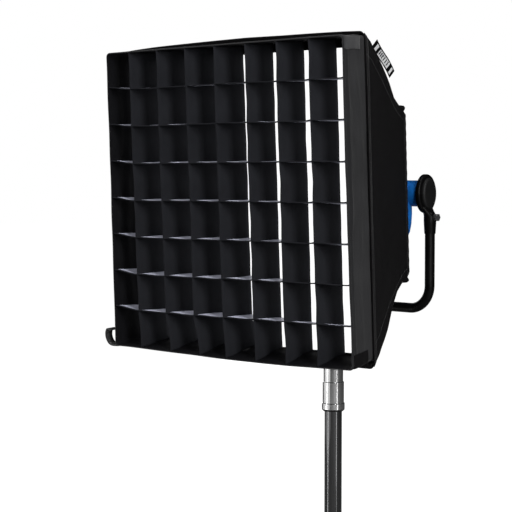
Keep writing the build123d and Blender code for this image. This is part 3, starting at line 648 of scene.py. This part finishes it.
def upright_strip(index):
    """One upright strip: it bows a little between the crossings and its lower end leans over."""
    x = GRID_W * (index / CELLS - 0.5)
    z = np.linspace(-GRID_H / 2 + EDGE_IN, GRID_H / 2 - EDGE_IN, 161)
    depth = np.linspace(0, 1, 11)
    down, deep = np.meshgrid(z, depth, indexing="ij")
    cell = (down / GRID_H + 0.5) * CELLS
    within = np.sin(math.pi * (cell % 1)) ** 2
    random = np.random.default_rng(40 + index)
    bow_front = by_cell(cell, random, -0.0004, 0.0018)
    bow_rear = by_cell(cell, random, -0.0012, 0.0010)
    shift = within * (bow_front * (1 - deep) + bow_rear * deep)
    shift += 0.0004 * ripple(down * 2.2, deep * 0.6, 60 + index)
    shift += WALL_FRONT[index - 1] * (1 - deep) + WALL_REAR[index - 1] * deep
    lowest = smooth_step(-down, GRID_H * 0.375, GRID_H * 0.5)
    shift += lowest * (LOWER_LEAN[index - 1] * (1 - 0.6 * deep) + LOWER_REAR[index - 1] * deep)
    y = strip_low[1] + STRIP_D * deep
    middle = grid_hang(np.stack([x + shift, y, down], axis=2))
    return cloth_piece(f"grid_upright_{index}", middle, STRIP_T, [GRID_CLOTH, GRID_CLOTH])


def level_strip(index):
    """One level strip: its front sags between the crossings, and its rear dips, more so at the right."""
    z = GRID_H * (index / CELLS - 0.5)
    x = np.linspace(-GRID_W / 2 + SIDE_IN, GRID_W / 2 - SIDE_IN, 193)
    depth = np.concatenate([[0, 0.025], np.linspace(0.1, 0.9, 9), [0.975, 1]])
    across, deep = np.meshgrid(x, depth, indexing="ij")
    cell = (across / GRID_W + 0.5) * CELLS
    share = cell % 1
    within = smooth_step(share, 0.1, 0.7) * (1 - smooth_step(share, 0.88, 1.0))
    random = np.random.default_rng(80 + index)
    sag = by_cell(cell, random, 0.0004, 0.0016)
    lift = by_cell(cell, random, -0.0006, 0.0004)
    shift = within * (-sag * (1 - deep) ** 1.5 + lift * deep)
    shift += 0.0004 * ripple(across * 2.2, deep * 0.6, 100 + index)
    right = smooth_step(cell, *TURN_CELLS)
    shift -= LEFT_DIP[index - 1] * (1 - right) * deep
    shift += right * (RIGHT_TURN[index - 1] * (0.12 - deep) - 0.0010)
    left_rise = 0.004 + 0.004 * (1 - index / CELLS)
    shift += left_rise * (1 - smooth_step(cell, 0.0, 1.1)) * (1 - 0.5 * deep)
    y = strip_low[1] + STRIP_D * deep
    middle = grid_hang(np.stack([across, y, z + shift], axis=2))
    thick = np.interp(depth, (0, 0.025, 0.1), (HEM_T, HEM_T, STRIP_T))
    thick = np.repeat(thick[None, :], len(x), 0)
    # faces in the lighter copy that paints light on the tops, bound edges in the plain grid fabric
    strip = cloth_piece(f"grid_level_{index}", middle, thick, [LIT_SATIN_CLOTH, LIT_SATIN_CLOTH, GRID_CLOTH])
    bound = np.zeros((len(x) - 1, len(depth) - 1), bool)
    bound[:, [0, -1]] = True
    return paint_faces(strip, bound, 2, edges=True)


SKIRT_DEPTHS = (1.0, 0.98, 0.95, 0.88, 0.8, 0.7, 0.6, 0.5, 0.4, 0.3, 0.22, 0.2, 0.18, 0.12, 0.05, 0.015, 0)
SKIRT_HEM = 0.19  # share of the skirt's depth
SKIRT_STITCH_ROWS = (3, 12, 14)
SKIRT_IN = -0.0013  # its folds go no deeper, because the level strips end just inside


def grid_skirt():
    """The outer band: one strip of doubled cloth sewn into a loop, hemmed at the front."""
    inset = SKIRT_T / 2 + 0.0004
    loop, outward = rounded_loop(GRID_W / 2 - inset, GRID_H / 2 - inset, 0.008, 72, 7)
    depth = np.array(SKIRT_DEPTHS)
    around = np.linspace(0, TAU, len(loop), endpoint=False)
    sides = smooth_step(np.abs(loop[:, 0]), GRID_W / 2 - 0.004, GRID_W / 2 - 0.002)
    rows = []
    for share in depth:
        wave = 0.0008 * ripple(np.cos(around) * 1.6, np.sin(around) * 1.6 + share * 0.7, 7, 3.0)
        fold = 0.0018 * sides * np.sin(TAU * (2.6 * share + 0.3 * np.sin(around * 5 + 1)))
        wave = np.maximum((wave + fold) * math.sin(math.pi * share) ** 0.7, SKIRT_IN)
        place = loop + outward * wave[:, None]
        edge = 0.0006 * ripple(np.cos(around), np.sin(around), 11, 3.0) * (share < 0.5)
        rows.append(np.stack([place[:, 0], grid_low[1] + GRID_D * share + edge, place[:, 1]], axis=1))
    middle = grid_hang(np.array(rows))
    thick = np.interp(depth, (0, 0.015, 0.18, 0.22, 0.9, 0.95, 1.0),
                      (0.0016, 0.0028, 0.0028, 0.0017, 0.0017, 0.0022, 0.0018))
    hems = depth[1:] < SKIRT_HEM
    # inner face and the back of its hem in the darker copy: painted shade
    piece = cloth_piece("grid_skirt", middle, np.repeat(thick[:, None], len(loop), 1),
                        [SKIRT_CLOTH, SHADED_SKIRT_INSIDE, HEM_CLOTH, SHADED_SKIRT_INSIDE], wrap=True, hems=hems)
    normals = grid_normals(middle, True)
    runs = [(middle[row] + normals[row] * thick[row] / 2, normals[row]) for row in SKIRT_STITCH_ROWS]
    threads = stitch_piece("grid_skirt_stitches", runs, pitch=0.0036, length=0.0026)
    return piece, threads


PATCH_L, PATCH_H = 0.045, 0.022


def corner_patch(sx, sz):
    """A puckered patch on the skirt's side at a front corner: lighter webbing with a painted sheen above, and
    hem tape below.
    """
    side = "right" if sx > 0 else "left"
    level = "top" if sz > 0 else "bottom"
    v, u = np.meshgrid(np.linspace(-0.5, 0.5, 15), np.linspace(0, 1, 29), indexing="ij")
    puff = 0.0009 * np.cos(math.pi * v) * np.sin(math.pi * u)
    dent = 0.0004 * ripple(u, v * 0.5, 200 + sx + 2 * sz)
    x = sx * (GRID_W / 2 + 0.0012 + puff + dent)
    z = sz * (GRID_H / 2 - PATCH_H / 2 - 0.003) + v * PATCH_H
    middle = grid_hang(np.stack([x, grid_low[1] + 0.003 + u * PATCH_L, z], axis=2))
    # the upper patches' lighter webbing is painted sheen
    cloth = SHEEN_PATCH_WEBBING if sz > 0 else BAG_HEM
    return cloth_piece(f"grid_patch_{side}_{level}", middle, 0.0012, [cloth, cloth])


TAB_FLAT = (0.018, 0.070)
TAB_ROUTE = ((0.006, 0.0002), (-0.010, -0.0010), (-0.0195, 0.0010), (-0.0275, 0.0085), (-0.0308, 0.0185),
             (-0.0290, 0.0290), (-0.0225, 0.0345), (-0.0180, 0.0290))  # x and z from the skirt's corner


def eased(points, count, passes):
    """A path of count points through a few, smoothed passes times."""
    fine, share = np.linspace(0, 1, count), np.linspace(0, 1, len(points))
    path = np.stack([np.interp(fine, share, np.array(points)[:, k]) for k in (0, 1)], axis=1)
    for _ in range(passes):
        path[1:-1] = (path[:-2] + 2 * path[1:-1] + path[2:]) / 4
    return path


def pull_tab():
    """The webbing pull tab: it leaves the skirt's lower left corner, curls up and back."""
    edge, foot = -GRID_W / 2, -GRID_H / 2
    path = eased(TAB_ROUTE, 41, 14) + (edge, foot)
    wave = 0.0008 * np.sin(np.linspace(0, 9, len(path)))
    middle = np.array([[(x + w * (deep - 0.5), grid_low[1] + 0.002 + TAB_FLAT[0] * deep, z)
                        for deep in np.linspace(0, 1, 9)] for (x, z), w in zip(path, wave)])
    root = grid_hang(np.array([edge + 0.001, grid_low[1], foot])) - (edge + 0.001, grid_low[1], foot)
    return cloth_piece("grid_pull_tab", middle + root, 0.0022, [WEBBING, WEBBING])


uprights = [upright_strip(index) for index in range(1, CELLS)]
levels = [level_strip(index) for index in range(1, CELLS)]
skirt, skirt_threads = grid_skirt()
patches = [corner_patch(sx, sz) for sx in (-1, 1) for sz in (-1, 1)]
tab = pull_tab()
for piece in uprights:
    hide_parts("grid_upright_strips")
for piece in levels:
    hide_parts("grid_level_strips")
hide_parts("grid_side_skirts", "grid_end_skirts")
for piece in patches:
    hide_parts("grid_tabs")
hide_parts("grid_tabs")
for piece in [*uprights, *levels, skirt, skirt_threads, *patches, tab]:
    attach(piece, "grid")


# ---- bag ----------------------------------------------------------------------------------
bag_points = np.vstack([level_points(node) for node in ("bag_top", "bag_right", "bag_bottom", "bag_left")])
bag_low, bag_high = bag_points.min(0), bag_points.max(0)
rear_ring = bag_points[bag_points[:, 1] > bag_high[1] - 1e-4]
REAR_HALF = np.abs(rear_ring[:, [0, 2]]).max(0)
FRONT_HALF = np.abs(bag_points[:, [0, 2]]).max(0)
_, lamp_high = level_box("front_frame")
BAG_WALL = 0.002
CUFF_GAP = 0.0011  # between the lamp's frame and the cuff's inside
SIDE_POINTS, CORNER_POINTS = 60, 7
# How far the seams are drawn in, by share of the bag's depth from its back, and how its top hem runs
SEAM_S = (0, 0.09, 0.22, 0.38, 0.6, 0.8, 1)
SEAM_TOP = (0, 0.0040, 0.0066, 0.0040, 0.0024, 0.0030, 0.0030)
SEAM_BOTTOM = (0, 0.0065, 0.0095, 0.0080, 0.0042, 0.0030, 0)
HEM_U = (-1, -0.7, -0.44, -0.18, 0.08, 0.36, 0.62, 1)
HEM_TOP = (-0.0040, -0.0019, -0.0007, 0.0005, 0.0013, 0, -0.0004, -0.0008)
CUFF_STEPS = (-0.0026, -0.0008, 0.0024)  # the cuff's rings, ahead of the lamp frame's rear
CUFF_THICK = (0.0014, 0.0018, 0.0016)
HEM_FROM = 0.94  # share of the bag's depth


def bag_ring(share):
    """The bag's middle surface at one depth, from its back (0) to its front (1)."""
    half = REAR_HALF + (FRONT_HALF - REAR_HALF) * share - BAG_WALL / 2
    loop, outward = rounded_loop(half[0], half[1], 0.005 + 0.005 * smooth_step(share, 0.85, 1.0),
                                 SIDE_POINTS, CORNER_POINTS)
    u, w = loop[:, 0] / half[0], loop[:, 1] / half[1]
    upright = np.abs(u) > np.abs(w)
    along = np.where(upright, w, u)
    panel = np.clip(1 - along ** 2, 0, 1)
    turn = np.arange(len(loop)) * TAU / len(loop)
    taut = math.sin(math.pi * share) ** 0.8
    wave = 0.0013 * ripple(np.cos(turn) * 1.2, np.sin(turn) * 1.2 + share * 0.8, 21, 3.0)
    folds = 0.0013 * math.exp(-share * 3) * np.sin(17 * along + 8 * share) * (1 - panel)
    radial = taut * (wave + folds - 0.0080 * panel ** 0.8)
    x, z = (loop + outward * radial[:, None]).T
    drawn = np.where(w > 0, np.interp(share, SEAM_S, SEAM_TOP), np.interp(share, SEAM_S, SEAM_BOTTOM))
    drawn = drawn * np.abs(along) ** 5
    x = x - np.sign(u) * drawn * np.where(upright, 1, np.abs(u) ** 3)
    z = z - np.sign(w) * drawn * np.where(upright, np.abs(w) ** 3, 1)
    hem = smooth_step(share, 0.86, 1.0)
    z = z + front_lift(u) * share ** 1.2
    z = z + hem * np.interp(u, HEM_U, HEM_TOP) * smooth_step(w, 0.8, 1.0)
    z = z + hem * -0.0011 * (1 + u) * smooth_step(-w, 0.8, 1.0)
    x = x - hem * 0.0028 * smooth_step(u, 0.8, 1.0)
    y = bag_high[1] + (bag_low[1] - bag_high[1]) * share
    return np.stack([x, np.full(len(loop), y), z], axis=1)


def cuff_ring(y):
    """The elastic cuff behind the adapter, snug on the lamp's frame."""
    half_w = lamp_high[0] + CUFF_GAP + BAG_WALL / 2
    half_h = lamp_high[2] + CUFF_GAP + BAG_WALL / 2
    loop, outward = rounded_loop(half_w, half_h, 0.009, SIDE_POINTS, CORNER_POINTS)
    turn = np.arange(len(loop)) * TAU / len(loop)
    pucker = 0.00035 * np.sin(turn * 70)
    x, z = (loop + outward * pucker[:, None]).T
    return np.stack([x, np.full(len(loop), y), z], axis=1)


def bag_shell():
    """One lofted shell of four sewn panels that pull in between the seams, with its rear cuff."""
    shares = np.concatenate([(0, 0.006, 0.02, 0.04), np.linspace(0.06, 0.92, 44),
                             (0.935, 0.95, 0.965, 0.985, 1.0)])
    cuff = [cuff_ring(lamp_high[1] - step) for step in CUFF_STEPS]
    middle = np.array(cuff + [bag_ring(share) for share in shares])
    walls = np.interp(shares, (0, 0.02, 0.05, 0.93, 0.95, 0.98, 1),
                      (0.0016, 0.0024, 0.0016, 0.0016, 0.003, 0.003, 0.0018))
    thick = np.concatenate([CUFF_THICK, walls])
    hems = np.concatenate([[True, True, False], shares[1:] > HEM_FROM])
    piece = cloth_piece("bag_shell", middle, np.repeat(thick[:, None], middle.shape[1], 1),
                        [BAG_OUT, BAG_IN, BAG_HEM], wrap=True, hems=hems)
    return piece, middle, thick


bag, bag_middle, bag_thick = bag_shell()
bag_normals = grid_normals(bag_middle, True)
bag_face = bag_middle + bag_normals * bag_thick[:, None, None] / 2
CORNER_STEP = SIDE_POINTS + CORNER_POINTS - 1
FIRST_SEAM_ROW, LAST_SEAM_ROW = 5, len(bag_middle) - 1
BAG_STITCH_ROWS = (LAST_SEAM_ROW - 4, LAST_SEAM_ROW - 1, 4)  # two in the hem, one beside the cuff
PIPING_R, PIPING_OUT = 0.0015, 0.0004


def corner_column(index):
    return index * CORNER_STEP + CORNER_POINTS // 2


def bag_trim():
    """Piping along the four seams, and the rows of stitches beside it, in the hem and at the cuff."""
    rows = slice(FIRST_SEAM_ROW, LAST_SEAM_ROW)
    pipes = []
    runs = []
    for index in range(4):
        column = corner_column(index)
        path = bag_face[rows, column] + bag_normals[rows, column] * PIPING_OUT
        pipes.append(tube_piece(f"bag_piping_{index + 1}", path, PIPING_R, BAG_HEM))
        for step in (1 - CORNER_POINTS, CORNER_POINTS - 1):
            beside = (column + step) % bag_middle.shape[1]
            runs.append((bag_face[rows, beside], bag_normals[rows, beside]))
    for row in BAG_STITCH_ROWS:
        runs.append((bag_face[row], bag_normals[row]))
    return pipes, stitch_piece("bag_stitches", runs, pitch=0.0042, length=0.003)


pipes, bag_threads = bag_trim()
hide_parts("bag_top", "bag_right", "bag_bottom", "bag_left")


TOP_TAPE, BOTTOM_TAPE = 0.018, 0.007  # the black tape sewn along the diffusion cloth's edges
SIDE_TRIM, FOOT_TRIM = 0.0045, 0.003  # how much smaller it is than its CAD solid


def front_cloth():
    """The white diffusion cloth, drawn flat and tight in front of the hem rods."""
    low, high = level_box("front_diffuser")
    u, v = np.meshgrid(np.linspace(-1, 1, 61), np.linspace(-1, 1, 165), indexing="ij")
    slack = 0.0006 * ripple(u, v, 31, 1.5) * (1 - u ** 4) * (1 - v ** 4)
    hollow = 0.0012 * (1 - u ** 2) * (1 - v ** 2)
    y = (low[1] + high[1]) / 2 + hollow + slack
    z = v * (high[2] - FOOT_TRIM / 2) + FOOT_TRIM / 2 + front_lift(u) * 0.9
    middle = np.stack([u * (high[0] - SIDE_TRIM), y, z], axis=2)
    piece = cloth_piece("front_cloth", middle, 0.001, [WHITE_CLOTH, WHITE_CLOTH, BAG_HEM])
    share = 2 / (high[2] - low[2])
    tape = (v[:-1, :-1] > 1 - share * TOP_TAPE) | (v[:-1, 1:] < -1 + share * BOTTOM_TAPE)
    paint_faces(piece, tape, 2, edges=True)
    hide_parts("front_diffuser")
    return piece


cloth = front_cloth()
EAR_FLAT = (0.026, 0.024)
EAR_FOLD = ((0.000, -0.0016), (0.004, -0.0021), (0.0075, -0.0019), (0.0095, -0.0008), (0.0096, 0.0006),
            (0.0078, 0.0016), (0.0045, 0.0019), (0.000, 0.0016))  # out from the seam, and aside of it
EAR_REACH = max(out for out, _ in EAR_FOLD)
EAR_TAPER = 85  # share of its width lost for each metre out


def corner_ear(index, sx, sz):
    """A pointed fold of seam tape that sticks out of the bag's rear corner."""
    seam = bag_middle[FIRST_SEAM_ROW:, corner_column(index)][::-1]
    rear = seam[-1, 1] - 0.010
    out = np.array([sx, 0, sz]) / math.sqrt(2)
    beside = np.array([-sz, 0, sx]) / math.sqrt(2) * sx * sz
    path = eased(EAR_FOLD, 33, 5)
    across = np.linspace(-0.5, 0.5, 9)
    middle = np.zeros((len(path), len(across), 3))
    for i, (reach, aside) in enumerate(path):
        for j, step in enumerate(across):
            droop = 0.0010 * reach / EAR_REACH * math.cos(3 * step + index)
            y = rear + 0.008 * reach / EAR_REACH + EAR_FLAT[0] * step * (1 - EAR_TAPER * reach)
            base = np.array([np.interp(y, seam[:, 1], seam[:, k]) for k in range(3)])
            base[1] = y
            middle[i, j] = base + out * (reach - 0.0012 + droop * 0.5) + beside * (aside + droop)
    return cloth_piece(f"bag_ear_{index + 1}", middle, 0.001, [BAG_HEM, BAG_HEM])


ears = [corner_ear(index, sx, sz) for index, (sx, sz) in enumerate(((1, 1), (-1, 1), (-1, -1), (1, -1)))]
for ear in ears:
    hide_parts("corner_ears")

tag_low, tag_high = level_box("side_tag")
TAG_HEIGHT = 0.017
PALE_BLOCKS = ((8, 16), (24, 72), (82, 89))  # rows of the label's 96, from its front end
DARK_BARS = (27, 33, 39, 47, 55, 63)  # the first of three rows each, on the long block


def side_tag():
    """The woven label: sewn into the upper right seam at its front end and free at its rear."""
    rows, columns = 97, 15
    along = np.linspace(0, 1, rows)
    reach = np.linspace(0, 1, columns)
    seam = bag_middle[:, corner_column(0)]
    y = tag_low[1] + (tag_high[1] - tag_low[1]) * along
    order = np.argsort(seam[:, 1])
    root = np.stack([np.interp(y, seam[order, 1], seam[order, k]) for k in range(3)], axis=1)
    out = np.array([1, 0, 1]) / math.sqrt(2)
    lift = 0.0012 + 0.0062 * smooth_step(along, 0.1, 1.0)
    middle = root[:, None] + out * (lift[:, None] + TAG_HEIGHT * reach[None, :])[..., None]
    curl = 0.0011 * np.sin(along * 5)[:, None] * reach[None, :] ** 2
    curl += 0.0008 * reach[None, :] * along[:, None]
    middle = middle + np.array([1, 0, -1]) / math.sqrt(2) * curl[..., None]
    woven = cloth_piece("side_tag_label", middle, 0.0008, [LABEL_BLACK, LABEL_BLACK, LABEL_PALE])
    marks = np.zeros((rows - 1, columns - 1), bool)
    for start, end in PALE_BLOCKS:
        marks[start:end, 2:-2] = True
    for start in DARK_BARS:
        marks[start:start + 3, 4:11] = False
    marks[43:70:9, 9:11] = False
    return paint_faces(woven, marks, 2)


label = side_tag()
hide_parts("side_tag")
for piece in [bag, *pipes, bag_threads, cloth, *ears, label]:
    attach(piece, "soft_box")

# ---- stage, light and camera --------------------------------------------------------------
scene = bpy.context.scene
scene.view_settings.view_transform = "Standard"


def by_camera_ray(tree, low, high):
    """A value that is high for what the camera sees directly and low for light."""
    path = tree.nodes.new("ShaderNodeLightPath")
    pick = tree.nodes.new("ShaderNodeMapRange")
    pick.inputs[3].default_value = low
    pick.inputs[4].default_value = high
    tree.links.new(path.outputs["Is Camera Ray"], pick.inputs[0])
    return pick.outputs[0]


def stage_floor():
    """A floor under the column, white to the camera and grey to the light."""
    half, z = 14.0, cad_low.z - 0.0005
    shader = Shader("stage_floor", (0.2, 0.2, 0.2), 0.75, 0.1)
    shader.bump(shader.noise(shader.place(), 30, 3), 0.0005)
    shader.set("Emission Color", (1.0, 1.0, 1.0, 1.0))
    shader.link(by_camera_ray(shader.tree, 0.02, 1.0), shader.surface.inputs["Emission Strength"])
    mesh = bpy.data.meshes.new("stage_floor")
    corners = [(-half, -half, z), (half, -half, z), (half, half, z), (-half, half, z)]
    mesh.from_pydata(corners, [], [(0, 1, 2, 3)])
    mesh.materials.append(shader.done())
    floor = bpy.data.objects.new("stage_floor", mesh)
    scene.collection.objects.link(floor)


def world_light():
    """White to the camera, dim for the lighting."""
    world = bpy.data.worlds.new("studio")
    world.use_nodes = True
    scene.world = world
    back = world.node_tree.nodes["Background"]
    back.inputs["Color"].default_value = (1, 1, 1, 1)
    world.node_tree.links.new(by_camera_ray(world.node_tree, 0.05, 1.0), back.inputs["Strength"])


def area_light(name, place, target, size, power):
    data = bpy.data.lights.new(name, "AREA")
    data.shape = "RECTANGLE"
    data.size, data.size_y = size
    data.energy = power
    lamp = bpy.data.objects.new(name, data)
    scene.collection.objects.link(lamp)
    lamp.location = place
    lamp.rotation_euler = (target - Vector(place)).to_track_quat("-Z", "Y").to_euler()
    lamp.visible_camera = False


MIDDLE = (cad_low + cad_high) / 2
COLUMN, FOOT = Vector((0, 0, 0.25)), Vector((0, 0, 0.06))
LIGHTS = (  # name, place, what it faces, width and height, watts
    ("key_right", (2.8, -1.6, 1.5), MIDDLE, (0.7, 1.4), 92),
    ("fill_front", (0.9, -3.4, 1.6), MIDDLE, (1.0, 1.0), 8),
    ("fill_left", (-1.9, -2.3, 0.8), MIDDLE, (2.0, 2.4), 16),
    ("top", (0.2, -0.8, 2.8), MIDDLE, (1.8, 1.4), 32),
    ("rim_left", (-2.6, 1.8, 0.9), MIDDLE, (1.4, 2.2), 20),
    ("column_panel_left", (-0.80, -0.95, 0.12), COLUMN, (2.2, 0.9), 4.6),
    ("column_strip_left", (-0.44, -0.72, 0.12), COLUMN, (0.05, 0.8), 0.5),
    ("column_strip_right", (0.84, -0.14, 0.12), COLUMN, (0.06, 0.8), 0.5),
    ("foot_strip_left", (-0.23, -0.35, 0.06), FOOT, (0.026, 0.26), 0.14),
    ("foot_strip_right", (0.41, -0.04, 0.06), FOOT, (0.02, 0.26), 0.05),
)
AIM = Vector((0.054, -0.293, 0.562))
AZIMUTH, ELEVATION, DISTANCE = math.radians(41.95), math.radians(3.39), 2.972
FOCAL_MM, SENSOR_MM = 113.2, 36.0


def photo_camera():
    """The camera at the photograph's angle, distance and field of view."""
    lens = bpy.data.cameras.new("camera")
    lens.lens, lens.sensor_width = FOCAL_MM, SENSOR_MM
    camera = bpy.data.objects.new("camera", lens)
    scene.collection.objects.link(camera)
    level = Vector((math.sin(AZIMUTH), -math.cos(AZIMUTH), 0)) * math.cos(ELEVATION)
    camera.location = AIM + DISTANCE * (level + Vector((0, 0, math.sin(ELEVATION))))
    camera.rotation_euler = (math.radians(90) - ELEVATION, 0, AZIMUTH)
    scene.camera = camera


stage_floor()
world_light()
for light in LIGHTS:
    area_light(*light)
photo_camera()
